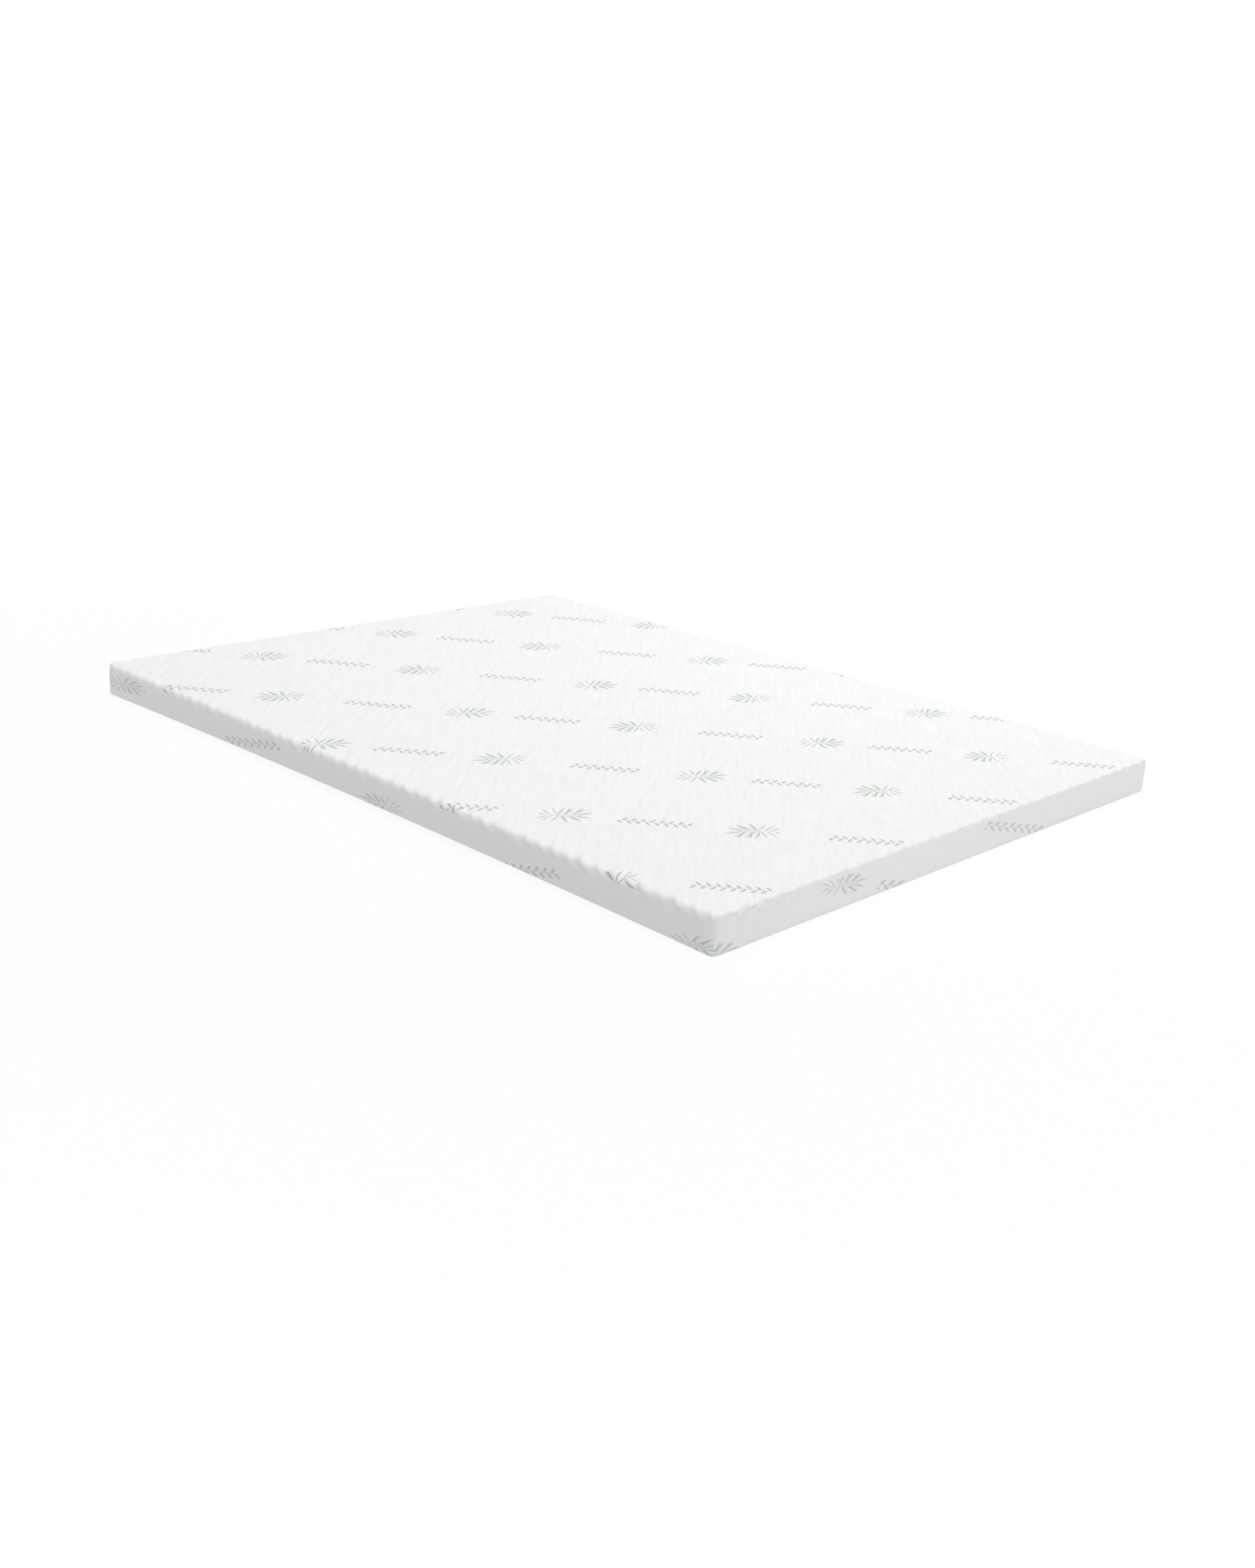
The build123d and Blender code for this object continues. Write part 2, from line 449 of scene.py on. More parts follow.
topKnit = makePrintedKnit("topKnit", topLayout)
borderKnit = makePrintedKnit("borderKnit", borderLayout)
frontKnit = makePrintedKnit("frontKnit", frontLayout)
undersideKnit = makePlainKnit("undersideKnit", (0.80, 0.80, 0.78, 1), (0.88, 0.88, 0.86, 1))
linerKnit = makePlainKnit("linerKnit", (0.82, 0.82, 0.82, 1), (0.90, 0.90, 0.90, 1))
memoryFoamCells = makeFoam("memoryFoamCells", (0.72, 0.66, 0.46, 1), (0.86, 0.80, 0.60, 1))
baseFoamCells = makeFoam("baseFoamCells", (0.74, 0.74, 0.72, 1), (0.88, 0.88, 0.86, 1))
tapeWeave = makeWoven("tapeWeave", (0.72, 0.72, 0.71, 1), (0.90, 0.90, 0.89, 1))
coilNylon = makeNylon("coilNylon", (0.86, 0.86, 0.85, 1))
seamThread = makeThread("seamThread", (0.74, 0.74, 0.73, 1), (0.92, 0.92, 0.91, 1))
nickel = makeNickel("nickel")
print("materials made")


# Shared modelling helpers

def stations(low, high, cell, edge=0.0, edgeCells=0):
    inner = [low + edge, high - edge]
    count = max(1, round((inner[1] - inner[0]) / cell))
    places = [inner[0] + (inner[1] - inner[0]) * step / count for step in range(count + 1)]
    fine = [edge * step / edgeCells for step in range(edgeCells)]
    return [low + step for step in fine] + places + [high - step for step in reversed(fine)]


def clothGrid(columns, rows):
    bm = bmesh.new()
    bmesh.ops.create_grid(bm, x_segments=len(columns) - 1, y_segments=len(rows) - 1, size=0.5)
    for vert in bm.verts:
        vert.co.x = columns[round((vert.co.x + 0.5) * (len(columns) - 1))]
        vert.co.y = rows[round((vert.co.y + 0.5) * (len(rows) - 1))]
    return bm


def layCloth(bm, place):
    cloth = bm.loops.layers.uv.new("cloth")
    for face in bm.faces:
        for loop in face.loops:
            loop[cloth].uv = place(loop.vert.co)


def smoothStep(value, low, high):
    share = min(1.0, max(0.0, (value - low) / (high - low)))
    return share * share * (3 - 2 * share)


def sway(place, other, rate, otherRate, swing):
    return math.sin(place * rate + swing * math.sin(other * otherRate))


def bowAt(y, z):
    lift = max(0.0, 1 - z / form["seam"])
    reach = max(0.0, 1 - (y / form["halfLength"]) ** 2)
    return form["drawIn"] * lift * lift * reach


def rimOf(x, y):
    away = Vector((max(abs(x) - form["halfWidth"] + form["cornerRadius"], 0),
                   max(abs(y) - form["halfLength"] + form["cornerRadius"], 0), 0))
    distance = away.length
    if distance > 0:
        away = Vector((math.copysign(away.x, x), math.copysign(away.y, y), 0)) / distance
    return away, distance


def panelGrid(panel, radius, arc):
    flat = form["cornerRadius"] - radius
    edge = flat + arc
    reach = [half - radius + arc for half in (form["halfWidth"], form["halfLength"])]
    bm = clothGrid(*[stations(-far, far, panel["cell"], edge, panel["edgeCells"]) for far in reach])
    trim = arc + panel["trim"] * edge / panel["edgeCells"]
    spare = [v for v in bm.verts if rimOf(v.co.x, v.co.y)[1] - flat > trim]
    bmesh.ops.delete(bm, geom=spare, context="VERTS")
    return bm, reach


def pastFlat(vert, radius, arc):
    away, distance = rimOf(vert.co.x, vert.co.y)
    beyond = distance - (form["cornerRadius"] - radius)
    if vert.is_boundary:
        vert.co += away * (arc - beyond)
        beyond = arc
    return away, beyond


def sharpenRim(bm):
    rim = [e for e in bm.edges if e.is_boundary]
    for edge in rim:
        edge.smooth = False
    return rim


def newPiece(name, bm, material, replaced=(), closed=True):
    if closed:
        bmesh.ops.recalc_face_normals(bm, faces=bm.faces)
    mesh = bpy.data.meshes.new(name)
    bm.to_mesh(mesh)
    bm.free()
    mesh.materials.append(material)
    mesh.polygons.foreach_set("use_smooth", [True] * len(mesh.polygons))
    piece = bpy.data.objects.new(name, mesh)
    scene.collection.objects.link(piece)
    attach(piece, "mattress")
    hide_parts(*replaced)
    return piece


def thicken(piece, thickness):
    wall = piece.modifiers.new("wall", "SOLIDIFY")
    wall.thickness = thickness
    wall.offset = -1
    wall.use_even_offset = True


def repeatAlong(piece, pitch, count):
    row = piece.modifiers.new("row", "ARRAY")
    row.use_relative_offset = False
    row.use_constant_offset = True
    row.constant_offset_displace = (pitch, 0, 0)
    row.count = count
    return row


# Top panel: a ribbed knit that rolls over the top edge down to the seam

topPanel = {
    "cell": 6.2 * mm,
    "edgeCells": 12,
    "trim": 0.6,                         # share of an edge cell that may stand past the seam
    "printAcross": (-0.3253, 0.6021, -0.7490, -0.0114, -0.0113, 0.0290),  # start, x, y and pull
    "printAlong": (1.0976, 0.7521, 0.5944, -0.0140, -0.0379, -0.0265),
    "longRoll": 2.5,                     # power of the rolled edge: 2 is round, more is squarer
    "shortRoll": 7.0,
    "sink": 0.3 * mm,
    "tuck": 0.03 * mm,                   # drawn in at the seam
    "tuckReach": 2.5 * mm,
}

puckers = {
    "left": 2.9 * mm,
    "right": 0.8 * mm,
    "front": 2.9 * mm,
    "back": 0.6 * mm,
    "longReach": 44 * mm,                # in from the long sides
    "shortReach": 17 * mm,
    "ease": 0.55,                        # how far they die away from the front left corner
    "easeAlong": (-0.3, 0.9),            # where they do, along the length and across the width
    "easeAcross": (-0.6, 0.4),
    "liftTurn": (0.9, 1.5),              # on the short sides they rise up to here, then swell outwards
    "hold": 8 * mm,                      # above the seam, where they start to fade
    "fade": 10 * mm,                     # below the seam, on the border
    "scallop": 0.55,                     # share that the wider waves of the long sides add
    "scallopTurn": (0.5, 1.9),           # their rate against the ribs', and their start
    "scallopSway": ((0.9, 3.7), (0.7, 9.0)),
}

ribs = {
    "angle": math.radians(-50),          # way across them
    "pitch": 30.5 * mm,
    "swell": 0.45 * mm,                  # over the flat of the panel
    "grooveDepth": 3.3 * mm,             # the liner under it stays hidden
    "wander": 2.6 * mm,
    "drift": (7.1, 5.3, 1.3),            # rates and swing of the wandering, slow to quick
    "sway": (37.0, 4.1, 2.0),
    "jitter": (89.0, 13.0, 1.5),
    "patches": 0.25,                     # stronger and weaker stretches
    "patchRates": ((6.3, 5.1, 0.0), (2.9, -8.3, 0.7)),
    "heights": (0.68, 0.26, 0.24),       # of a rib, and how much it differs from the next
    "slow": (23.0, 6.0, 1.7),
    "quick": 61.0,
    "smallHeight": 0.25,                 # of the lesser rib between two
    "smallTurn": (2, 1.1),
    "smallSway": (0.8, 9.0),
}


def clothOnTop(x, y):
    pulled = (1, x, y, x * x, x * y, y * y)
    return [sum(share * part for share, part in zip(topPanel[axis], pulled))
            for axis in ("printAcross", "printAlong")]


def edgeArc():
    radius = form["edgeRadius"]
    return radius * math.pi / 2 + form["top"] - radius - form["seam"]


def puckersAt(x, y):
    nearLong = smoothStep(abs(x) - form["halfWidth"], -puckers["longReach"], 0)
    nearLong *= puckers["left" if x < 0 else "right"]
    nearLong *= 1 - puckers["ease"] * smoothStep(y, *puckers["easeAlong"])
    nearShort = smoothStep(abs(y) - form["halfLength"], -puckers["shortReach"], 0)
    nearShort *= puckers["front" if y < 0 else "back"]
    nearShort *= 1 - puckers["ease"] * smoothStep(x, *puckers["easeAcross"])
    return nearLong, nearShort


def scallopAt(across, along, turn):
    rate, start = puckers["scallopTurn"]
    (alongSwing, alongRate), (acrossSwing, acrossRate) = puckers["scallopSway"]
    return math.cos(rate * turn + start + alongSwing * math.sin(along * alongRate)
                    + acrossSwing * math.sin(across * acrossRate))


def ribAt(x, y, beyond):
    across, along = turnedAxes(x, y, ribs["angle"])
    across += ribs["wander"] * sway(along, across, *ribs["drift"])
    across += ribs["wander"] * sway(across, along, *ribs["sway"])
    across += 0.5 * ribs["wander"] * sway(across, across, *ribs["jitter"])
    patchy = ribs["patches"]
    for rateX, rateY, start in ribs["patchRates"]:
        patchy *= math.sin(x * rateX + y * rateY + start)
    turn = 2 * math.pi * across / ribs["pitch"]
    high, slow, quick = ribs["heights"]
    high += slow * sway(across, along, *ribs["slow"])
    high += quick * math.sin(across * ribs["quick"])
    rate, start = ribs["smallTurn"]
    swing, swingRate = ribs["smallSway"]
    small = ribs["smallHeight"] * math.sin(rate * turn + start + swing * math.sin(along * swingRate))
    nearLong, nearShort = puckersAt(x, y)
    swell = ribs["swell"] + max(nearLong, nearShort)
    scallop = scallopAt(across, along, turn) * (puckers["scallop"] * nearLong)
    arc = edgeArc()
    sewn = smoothStep(beyond, arc - puckers["hold"], arc + puckers["fade"])
    rise = (swell * (1 + patchy) * (high * math.cos(turn) + small) + scallop) * (1 - sewn)
    depth = ribs["grooveDepth"]
    return rise if rise > 0 else depth * math.tanh(rise / depth)


def rollReach(turn, away):
    power = topPanel["longRoll"] + (topPanel["shortRoll"] - topPanel["longRoll"]) * away.y ** 2
    return form["edgeRadius"] * (math.cos(turn) ** power + math.sin(turn) ** power) ** (-1 / power)


def makeTopPanel():
    radius = form["edgeRadius"]
    quarter = radius * math.pi / 2
    arc = edgeArc()
    bm, reach = panelGrid(topPanel, radius, arc)
    layCloth(bm, lambda co: clothOnTop(co.x, co.y))
    up = Vector((0, 0, 1))
    for vert in bm.verts:
        away, beyond = pastFlat(vert, radius, arc)
        rib = ribAt(vert.co.x, vert.co.y, beyond)
        rib -= topPanel["sink"] * (1 - smoothStep(beyond, 0, arc))
        rib -= topPanel["tuck"] * smoothStep(beyond, arc - topPanel["tuckReach"], arc)
        turn = min(max(beyond, 0) / radius, math.pi / 2)
        roll = rollReach(turn, away)
        if beyond > 0:
            vert.co += away * (roll * math.sin(turn) - beyond)
        vert.co.z = form["top"] - radius + roll * math.cos(turn) - max(0, beyond - quarter)
        outward = away * math.sin(turn) + up * math.cos(turn)
        lifted = away.y ** 2 * (1 - smoothStep(turn, *puckers["liftTurn"]))
        vert.co += outward.lerp(up, lifted) * rib
    rim = sharpenRim(bm)
    wall = form["knit"]
    # inside: down the wall's thickness, up it again and in under the panel
    for inset, level in ((wall, form["seam"]), (wall, form["top"] - radius),
                         (2 * radius, form["top"] - wall)):
        made = bmesh.ops.extrude_edge_only(bm, edges=rim)["geom"]
        rim = [g for g in made if isinstance(g, bmesh.types.BMEdge) and g.is_boundary]
        for vert in [g for g in made if isinstance(g, bmesh.types.BMVert)]:
            away, distance = rimOf(vert.co.x, vert.co.y)
            vert.co += away * (form["cornerRadius"] - inset - distance)
            vert.co.z = level
    bmesh.ops.edgeloop_fill(bm, edges=rim)
    piece = newPiece("topPanel", bm, topKnit, ["cover_top"])
    2 * reach[0]
    2 * reach[1]
    return piece


topPiece = makeTopPanel()
print("top panel", len(topPiece.data.polygons), "faces")


# Border strips: one along each side, and two at the zip end

border = {
    "cell": 6.0 * mm,
    "endStretch": 8 * mm,                # finer cells at the corners
    "endCells": 6,
    "rows": 14,
    "tuck": 0.03 * mm,
    "tuckReach": 3.0 * mm,
    "overlap": 0.5 * mm,                 # seam allowance behind the top panel
    "overlapInset": 0.12 * mm,
    "wave": 0.35 * mm,                   # slack of the cloth over the foam
    "waveSway": (21, 8, 2),
    "hemRadius": 1.3 * mm,
}

# How the print lies on each strip: start, rise, slope, scale and stretch
borderPrints = {
    "left": (0.540, 0.0125, -0.0165, -1.087, -0.097),
    "front": (-0.160, -0.012, 0.0, 1.0, 0.0),
    "right": (-0.310, 0.034, 0.012, 1.0, 0.0),
    "back": (0.120, 0.050, 0.010, 1.0, 0.0),
}

zipLine = {
    "height": (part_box("zip_coil_upper")[0].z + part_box("zip_coil_lower")[1].z) / 2,
    "halfLength": 700 * mm,
    "halfWindow": 5.5 * mm,
    "endEase": 5 * mm,                   # how fast the hem opens at the zip's ends
}


def newSide(out, along, half, depth):
    out = Vector(out)
    return {"middle": out * depth, "along": Vector(along), "out": out, "half": half}


sides = {
    "front": newSide((0, -1, 0), (1, 0, 0), form["halfWidth"], form["halfLength"]),
    "right": newSide((1, 0, 0), (0, 1, 0), form["halfLength"], form["halfWidth"]),
    "back": newSide((0, 1, 0), (-1, 0, 0), form["halfWidth"], form["halfLength"]),
    "left": newSide((-1, 0, 0), (0, -1, 0), form["halfLength"], form["halfWidth"]),
}


def sidePoint(side, run, z, inset):
    radius = form["cornerRadius"]
    straight = side["half"] - radius
    turn = max(0.0, abs(run) - straight) / radius
    way = math.copysign(1, run)
    point = side["middle"] + side["along"] * way * (min(abs(run), straight) + radius * math.sin(turn))
    point = point - side["out"] * radius * (1 - math.cos(turn))
    outward = side["out"] * math.cos(turn) + side["along"] * way * math.sin(turn)
    point = point - outward * inset
    point.x -= math.copysign(bowAt(point.y, z), point.x)
    point.z = z
    return point


def rollInset(gap, radius):
    short = radius - min(max(gap, 0.0), radius)
    return radius - math.sqrt(radius * radius - short * short)


def printOn(sideName, run, z):
    start, rise, slope, scale, stretch = borderPrints[sideName]
    off = run - start
    return off * scale + off * off * stretch, z - rise - slope * off


def makeStrip(name, sideName, node, cloth, low=None, high=None):
    side = sides[sideName]
    end = side["half"] - form["cornerRadius"] + form["cornerRadius"] * math.pi / 4
    columns = stations(-end, end, border["cell"], border["endStretch"], border["endCells"])
    steps = border["rows"]
    rows = [0.5 - 0.5 * math.cos(math.pi * step / steps) for step in range(steps + 1)]
    bm = clothGrid(columns, rows)
    lowAt = low or (lambda run: form["floor"])
    highAt = high or (lambda run: form["seam"] + border["overlap"])
    slackness = 0.0 if low or high else border["wave"]
    for vert in bm.verts:
        run, share = vert.co.x, vert.co.y
        vert.co.y = lowAt(run) + (highAt(run) - lowAt(run)) * share
    layCloth(bm, lambda co: printOn(sideName, co.x, co.y))
    for vert in bm.verts:
        run, z = vert.co.x, vert.co.y
        above, under = highAt(run) - z, z - lowAt(run)
        seamGap = min(1.0 if high else above, 1.0 if low else under, end - abs(run))
        hemGap = min(above if high else 1.0, under if low else 1.0)
        inset = border["tuck"] * (1 - smoothStep(seamGap, 0, border["tuckReach"]))
        inset += rollInset(hemGap, border["hemRadius"]) + rollInset(z, form["footRadius"])
        if z > form["seam"]:
            inset += border["overlapInset"]
        rise = math.sin(math.pi * min(1.0, (z - form["floor"]) / (form["seam"] - form["floor"])))
        inset -= slackness * sway(run, run, *border["waveSway"]) * rise
        vert.co = sidePoint(side, run, z, inset)
        away = rimOf(vert.co.x, vert.co.y)[0]
        beyond = edgeArc() + form["seam"] - z
        laid = vert.co + away * (beyond - form["edgeRadius"])
        vert.co += away * ribAt(laid.x, laid.y, beyond)
    sharpenRim(bm)
    piece = newPiece(name, bm, cloth, [node], closed=False)
    thicken(piece, form["knit"])
    cut = highAt(0) - lowAt(0)
    2 * end


def hemHeight(run, way):
    closed = smoothStep(abs(run), zipLine["halfLength"] - zipLine["endEase"], zipLine["halfLength"])
    return zipLine["height"] + way * zipLine["halfWindow"] * (1 - closed)


makeStrip("borderLeft", "left", "border_left", borderKnit)
makeStrip("borderFront", "front", "border_front", frontKnit)
makeStrip("borderRight", "right", "border_right", borderKnit)
makeStrip("zipPanelUpper", "back", "zip_panel_upper", borderKnit, low=lambda run: hemHeight(run, 1))
makeStrip("zipPanelLower", "back", "zip_panel_lower", borderKnit, high=lambda run: hemHeight(run, -1))
print("border strips made")


# Underside panel

bottomPanel = {"cell": 16 * mm, "edgeCells": 6, "trim": 0.6, "thickness": 1.0 * mm}


def makeBottomPanel():
    radius = form["footRadius"]
    arc = radius * math.acos(1 - form["floor"] / radius)
    bm, reach = panelGrid(bottomPanel, radius, arc)
    layCloth(bm, lambda co: (co.x, co.y))
    for vert in bm.verts:
        away, beyond = pastFlat(vert, radius, arc)
        turn = max(beyond, 0) / radius
        if beyond > 0:
            vert.co += away * (radius * math.sin(turn) - beyond)
        vert.co.z = radius * (1 - math.cos(turn))
        vert.co.x -= bowAt(vert.co.y, 0) * vert.co.x / form["halfWidth"]
    for face in bm.faces:
        face.normal_flip()
    sharpenRim(bm)
    piece = newPiece("bottomPanel", bm, undersideKnit, ["cover_bottom"],
                     closed=False)
    thicken(piece, bottomPanel["thickness"])
    2 * reach[0]
    2 * reach[1]


makeBottomPanel()
print("underside made")


# Foam core and its liner

core = {
    "foamInset": 4.0 * mm,
    "linerInset": 2.9 * mm,
    "linerThickness": 0.8 * mm,
    "linerCut": (1.60, 4.20),            # tube of liner knit, laid flat
    "topRadius": 18 * mm,
    "cornerSegments": 6,
    "topSegments": 4,
    "cutsAlong": 31,
    "cutsUp": 3,
    "closeBy": 0.1 * mm,                 # heights this near count as one
}


def roundOff(bm, edges, radius, segments):
    bmesh.ops.bevel(bm, geom=edges, offset=radius, affect="EDGES", segments=segments, profile=0.5,
                    material=-1)


def sliceAt(bm, place, way):
    whole = bm.verts[:] + bm.edges[:] + bm.faces[:]
    bmesh.ops.bisect_plane(bm, geom=whole, plane_co=place, plane_no=way)


def makeBlock(low, high, inset, roundTop):
    halfX, halfY = form["halfWidth"] - inset, form["halfLength"] - inset
    bm = bmesh.new()
    bmesh.ops.create_cube(bm, size=1.0)
    bmesh.ops.scale(bm, vec=(2 * halfX, 2 * halfY, high - low), verts=bm.verts)
    bmesh.ops.translate(bm, vec=(0, 0, (low + high) / 2), verts=bm.verts)
    upright = [e for e in bm.edges if abs(e.verts[0].co.z - e.verts[1].co.z) > core["closeBy"]]
    roundOff(bm, upright, form["cornerRadius"] - inset, core["cornerSegments"])
    if roundTop:
        upper = [e for e in bm.edges if all(v.co.z > high - core["closeBy"] for v in e.verts)]
        roundOff(bm, upper, core["topRadius"] - inset, core["topSegments"])
    for step in range(1, core["cutsAlong"] + 1):
        sliceAt(bm, (0, -halfY + 2 * halfY * step / (core["cutsAlong"] + 1), 0), (0, 1, 0))
    for step in range(1, core["cutsUp"] + 1):
        cut = low + (min(high, form["seam"]) - low) * step / (core["cutsUp"] + 1)
        sliceAt(bm, (0, 0, cut), (0, 0, 1))
    for vert in bm.verts:
        vert.co.x -= bowAt(vert.co.y, vert.co.z) * vert.co.x / halfX
    return bm


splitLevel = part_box("memory_foam")[0].z
memoryBlock = makeBlock(splitLevel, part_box("memory_foam")[1].z, core["foamInset"], True)
memoryPiece = newPiece("memoryFoam", memoryBlock, memoryFoamCells, ["memory_foam"])
baseBlock = makeBlock(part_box("base_foam")[0].z, splitLevel, core["foamInset"], False)
basePiece = newPiece("baseFoam", baseBlock, baseFoamCells, ["base_foam"])
linerBlock = makeBlock(form["floor"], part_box("inner_liner")[1].z, core["linerInset"], True)
layCloth(linerBlock, lambda co: (co.x, co.y + co.z))
linerPiece = newPiece("innerLiner", linerBlock, linerKnit, ["inner_liner"])
thicken(linerPiece, core["linerThickness"])
print("foam core made")


# Zip: tapes, coils and topstitching

zipTape = {
    "cell": 8 * mm,
    "row": 1.7 * mm,
    "inset": 0.1 * mm,                   # behind the face of the solid tape
    "thickness": 0.4 * mm,
    "ripple": 0.06 * mm,
    "rippleRates": (310, 900),
}

zipCoil = {
    "pitch": 1.6 * mm,
    "wireRadius": 0.36 * mm,
    "wireSides": 6,
    "loopSteps": 10,
    "mesh": 0.45 * mm,                   # how far the loops' heads reach past the zip's middle
    "starts": {1: 0.75, -1: 1.25},       # pitches, so that the two coils interlock
    "spareTurns": 2,                     # left off at the end
    "joinGap": 0.02 * mm,                # ends of turns this near are joined
}

topstitch = {
    "pitch": 3.6 * mm,
    "length": 2.9 * mm,
    "radius": 0.32 * mm,
    "sides": (6, 5),                     # round the thread and along it
    "rows": (2.4 * mm, 6.4 * mm),        # from the hem's edge
    "endGap": 4 * mm,
    "proud": 0.08 * mm,
}


def makeTape(name, node):
    low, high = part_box(node)
    bm = clothGrid(stations(low.x, high.x, zipTape["cell"]), stations(low.z, high.z, zipTape["row"]))
    rateX, rateZ = zipTape["rippleRates"]
    for vert in bm.verts:
        x, z = vert.co.x, vert.co.y
        ripple = zipTape["ripple"] * math.sin(x * rateX) * math.sin(z * rateZ)
        vert.co = Vector((x, high.y - zipTape["inset"] + ripple, z))
    for face in bm.faces:
        face.normal_flip()
    bmesh.ops.solidify(bm, geom=bm.faces[:], thickness=zipTape["thickness"])
    piece = newPiece(name, bm, tapeWeave, [node])


def makeCoil(name, node, way):
    low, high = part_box(node)
    pitch, wire = zipCoil["pitch"], zipCoil["wireRadius"]
    head = zipLine["height"] - way * zipCoil["mesh"]
    tail = high.z if way > 0 else low.z
    middle = (low.x + pitch * zipCoil["starts"][way], (low.y + high.y) / 2, (head + tail) / 2)
    halfTall = abs(tail - head) / 2 - wire
    halfDeep = (high.y - low.y) / 2 - wire
    bm = bmesh.new()
    made = bmesh.ops.create_circle(bm, cap_ends=False, segments=zipCoil["wireSides"], radius=wire)
    ring = made["verts"]
    bmesh.ops.rotate(bm, verts=ring, cent=(0, 0, 0), matrix=Matrix.Rotation(math.pi / 2, 3, "X"))
    bmesh.ops.translate(bm, verts=ring, vec=(0, 0, halfTall))
    steps = zipCoil["loopSteps"]
    bmesh.ops.spin(bm, geom=bm.verts[:] + bm.edges[:], cent=(0, 0, 0), axis=(1, 0, 0),
                   dvec=(pitch / steps, 0, 0), angle=2 * math.pi, steps=steps)
    for vert in bm.verts:
        out = math.hypot(vert.co.y, vert.co.z)
        vert.co.y = vert.co.y / out * (halfDeep + (out - halfTall))
        vert.co.z *= way
    bmesh.ops.translate(bm, verts=bm.verts, vec=middle)
    piece = newPiece(name, bm, coilNylon, [node])
    turns = repeatAlong(piece, pitch, int((high.x - low.x) / pitch) - zipCoil["spareTurns"])
    turns.use_merge_vertices = True
    turns.merge_threshold = zipCoil["joinGap"]


def makeStitches(name, way, offset):
    height = zipLine["height"] + way * (zipLine["halfWindow"] + offset)
    reach = zipLine["halfLength"] - topstitch["endGap"]
    depth = form["halfLength"] + topstitch["proud"]
    around, lengthwise = topstitch["sides"]
    bm = bmesh.new()
    bmesh.ops.create_uvsphere(bm, u_segments=around, v_segments=lengthwise, radius=1.0)
    turned = Matrix.Rotation(math.pi / 2, 3, "Y")
    bmesh.ops.rotate(bm, verts=bm.verts, cent=(0, 0, 0), matrix=turned)
    size = (topstitch["length"] / 2, topstitch["radius"], topstitch["radius"])
    bmesh.ops.scale(bm, verts=bm.verts, vec=size)
    bmesh.ops.translate(bm, verts=bm.verts, vec=(-reach, depth, height))
    piece = newPiece(name, bm, seamThread)
    repeatAlong(piece, topstitch["pitch"], int(2 * reach / topstitch["pitch"]))


makeTape("zipTapeUpper", "zip_tape_upper")
makeTape("zipTapeLower", "zip_tape_lower")
makeCoil("zipCoilUpper", "zip_coil_upper", 1)
makeCoil("zipCoilLower", "zip_coil_lower", -1)
for way, word in ((1, "Upper"), (-1, "Lower")):
    for count, offset in enumerate(topstitch["rows"]):
        makeStitches(f"topstitch{word}{count + 1}", way, offset)
for node in ("zip_slider", "zip_pull", "zip_top_stops", "zip_bottom_stop"):
    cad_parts[node].data.materials.clear()
    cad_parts[node].data.materials.append(nickel)
print("zip made")


# Floor, light and camera

studio = {
    "floorSize": 14.0,
    "floorGap": 0.3 * mm,
    "floorGrey": 0.97,
    "bounceGlow": (0.645, 0.908),            # greys of the floor's glow, a painted bounce light, as the long and the short sides see it
    "bounceBlend": 0.06,
    "bounceBias": 0.5,
    "cornerReach": 0.42,                 # stretch of the short side where the floor's glow is dimmed, a painted shade by the near corner
    "cornerShade": 0.30,
    "shadow": 0.16,                      # share of the floor's own light and shade that shows
    "shadowReach": 1.5,                  # from the middle, where that share starts to fade
    "shadowBlend": 1.2,
    "skyLight": 0.62,
    "lamp": 1.03,
    "lampFrom": (0.0, -0.20, 1.0),
    "lampSpread": math.radians(40),
    "sideLamp": 12.5,
    "sideLampPlace": (1.6, -0.1, 2.5),
    "sideLampSize": 1.8,
}

view = {
    "place": (-2.872, -2.765, 1.224),
    "heading": math.radians(43.20),
    "dip": math.radians(18.48),
    "roll": math.radians(3.54),
    "lens": 39.37,
    "sensor": 36.0,
}


def seenRays(wires):
    rays = [wires.add("ShaderNodeLightPath", out=kind)
            for kind in ("Is Camera Ray", "Is Glossy Ray", "Is Transmission Ray")]
    return rays[0].atLeast(rays[1]).atLeast(rays[2])


# Painted bounce light: for the object's rays the floor glows, brighter before the short side and dimmer
# beside the long side and by the near corner, which lights and shades the sides
def paintedBounceGlow(wires, place):
    x, y = axesOf(wires, place, "XY")
    beside = (-x - form["halfWidth"]).atLeast(0.0)
    before = ((-y - form["halfLength"] - beside) / studio["bounceBlend"] + studio["bounceBias"]).held()
    along = ((x + form["halfWidth"]) / studio["cornerReach"]).held()
    before = before * (along * studio["cornerShade"] + (1 - studio["cornerShade"]))
    return before.tint(*[(grey, grey, grey, 1) for grey in studio["bounceGlow"]])


def makePaleFloor():
    material = bpy.data.materials.new("paleFloor")
    material.use_nodes = True
    tree = material.node_tree
    tree.nodes.clear()
    wires = Wire(tree)
    place = solidPlace(wires)
    away = wires.add("ShaderNodeVectorMath", {"operation": "LENGTH"}, {0: place}, "Value")
    far = ((away - studio["shadowReach"]) / studio["shadowBlend"]).held()
    greys = paintedBounceGlow(wires, place)
    # the floor glows with these greys for all but camera and glossy rays: painted bounce light on the
    # object's sides
    bounceGlow = wires.add("ShaderNodeEmission", None, {"Color": greys, "Strength": 1.0})
    pale = wires.add("ShaderNodeBsdfDiffuse", None, {"Color": (studio["floorGrey"],) * 3 + (1,)})
    white = wires.add("ShaderNodeEmission", None, {"Color": (1, 1, 1, 1), "Strength": 1.0})
    share = 1 - (1 - far) * studio["shadow"]
    shown = wires.add("ShaderNodeMixShader", None, {0: share, 1: pale, 2: white})
    whole = wires.add("ShaderNodeMixShader", None, {0: seenRays(wires), 1: bounceGlow, 2: shown})
    plug(whole, tree.nodes.new("ShaderNodeOutputMaterial"), "Surface")
    return material


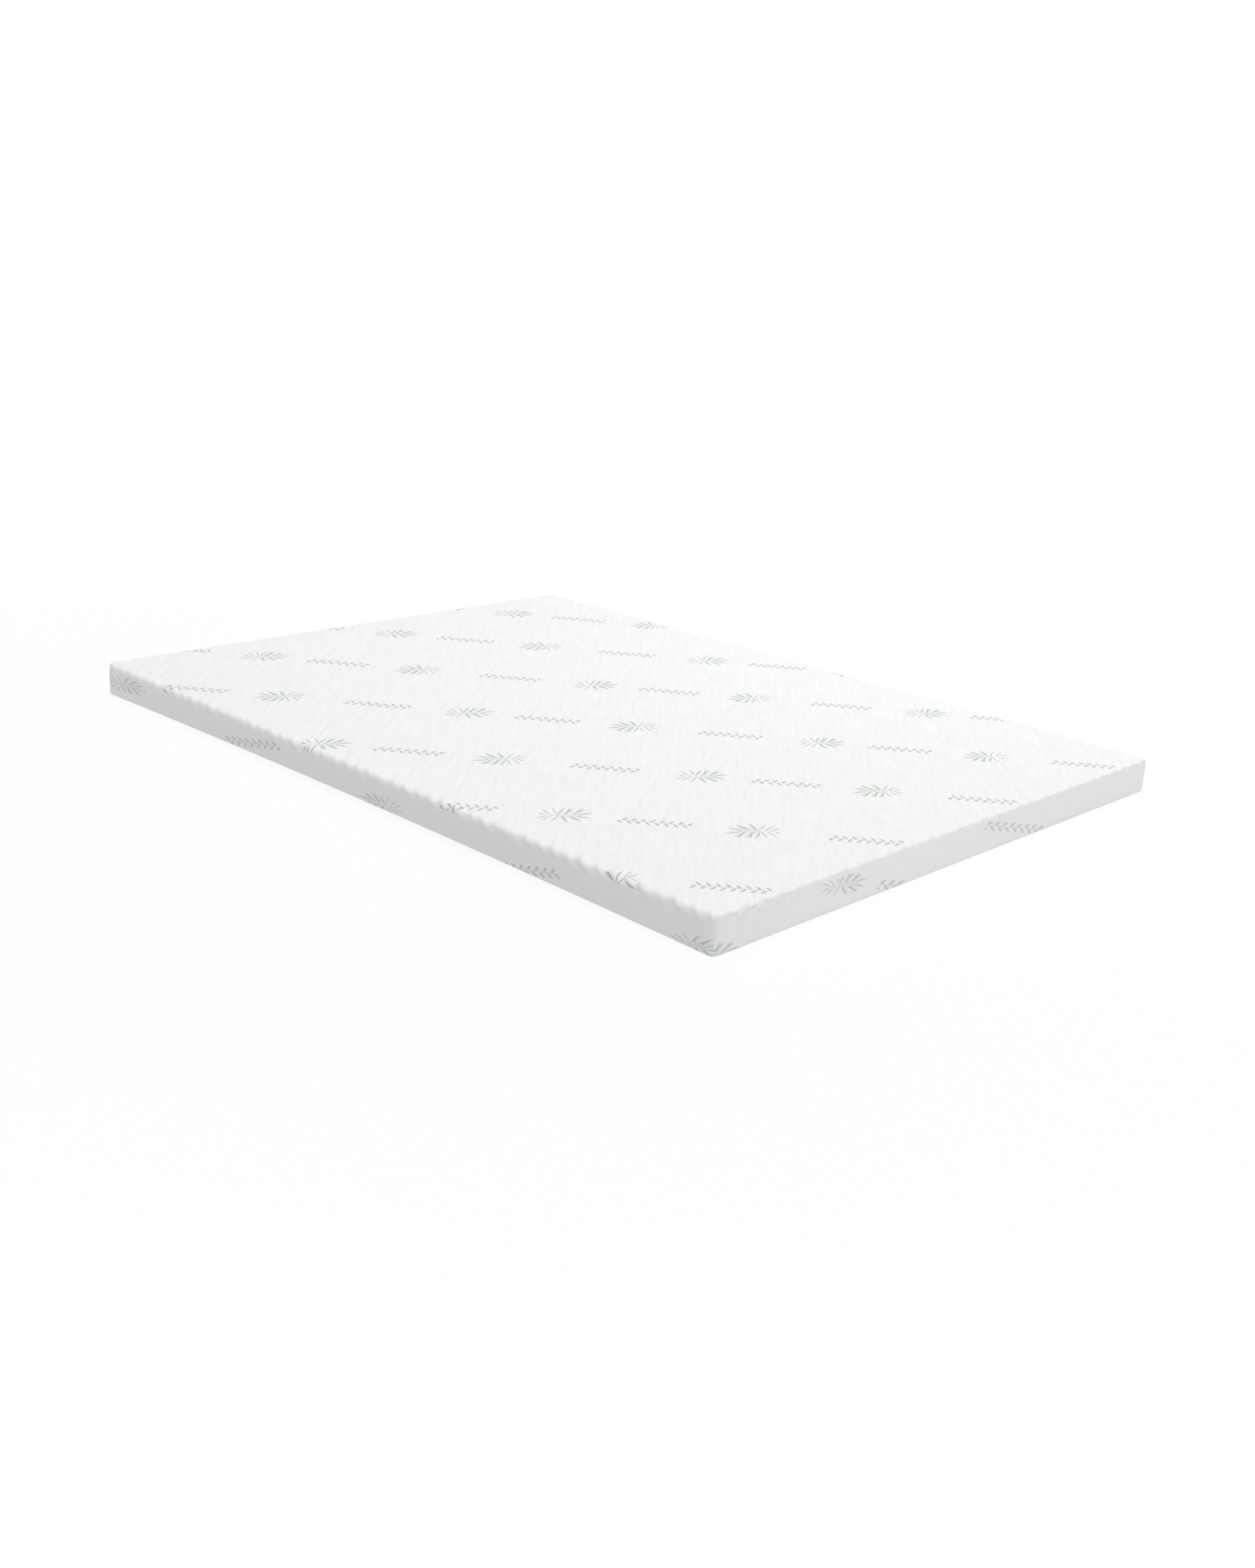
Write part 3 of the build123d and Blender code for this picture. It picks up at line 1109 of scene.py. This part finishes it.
def makeFloor():
    bm = bmesh.new()
    bmesh.ops.create_grid(bm, x_segments=2, y_segments=2, size=studio["floorSize"] / 2)
    bmesh.ops.translate(bm, verts=bm.verts, vec=(0, 0, -studio["floorGap"]))
    mesh = bpy.data.meshes.new("floor")
    bm.to_mesh(mesh)
    bm.free()
    mesh.materials.append(makePaleFloor())
    floor = bpy.data.objects.new("floor", mesh)
    scene.collection.objects.link(floor)


def makeSky():
    world = bpy.data.worlds.new("studio")
    scene.world = world
    world.use_nodes = True
    wires = Wire(world.node_tree)
    back = world.node_tree.nodes["Background"]
    back.inputs["Color"].default_value = (1, 1, 1, 1)
    plug(seenRays(wires) * (1 - studio["skyLight"]) + studio["skyLight"], back, "Strength")


def newLamp(name, kind, energy):
    lamp = bpy.data.lights.new(name, kind)
    lamp.energy = energy
    holder = bpy.data.objects.new(name, lamp)
    scene.collection.objects.link(holder)
    return lamp, holder


def makeLamps():
    lamp, holder = newLamp("softLamp", "SUN", studio["lamp"])
    lamp.angle = studio["lampSpread"]
    holder.rotation_euler = Vector(studio["lampFrom"]).to_track_quat("Z", "Y").to_euler()
    lamp, holder = newLamp("sideLamp", "AREA", studio["sideLamp"])
    lamp.shape = "DISK"
    lamp.size = studio["sideLampSize"]
    holder.location = studio["sideLampPlace"]


def makeCamera():
    heading, dip, roll = view["heading"], view["dip"], view["roll"]
    level = math.cos(dip)
    forward = Vector((level * math.cos(heading), level * math.sin(heading), -math.sin(dip)))
    right = forward.cross(Vector((0, 0, 1))).normalized()
    up = right.cross(forward)
    across = right * math.cos(roll) + up * math.sin(roll)
    upward = up * math.cos(roll) - right * math.sin(roll)
    turned = Matrix((across, upward, -forward)).transposed()
    lens = bpy.data.cameras.new("camera")
    lens.lens = view["lens"]
    lens.sensor_width = view["sensor"]
    camera = bpy.data.objects.new("camera", lens)
    scene.collection.objects.link(camera)
    camera.matrix_world = Matrix.Translation(view["place"]) @ turned.to_4x4()
    scene.camera = camera


makeFloor()
makeSky()
makeLamps()
makeCamera()
print("studio ready")
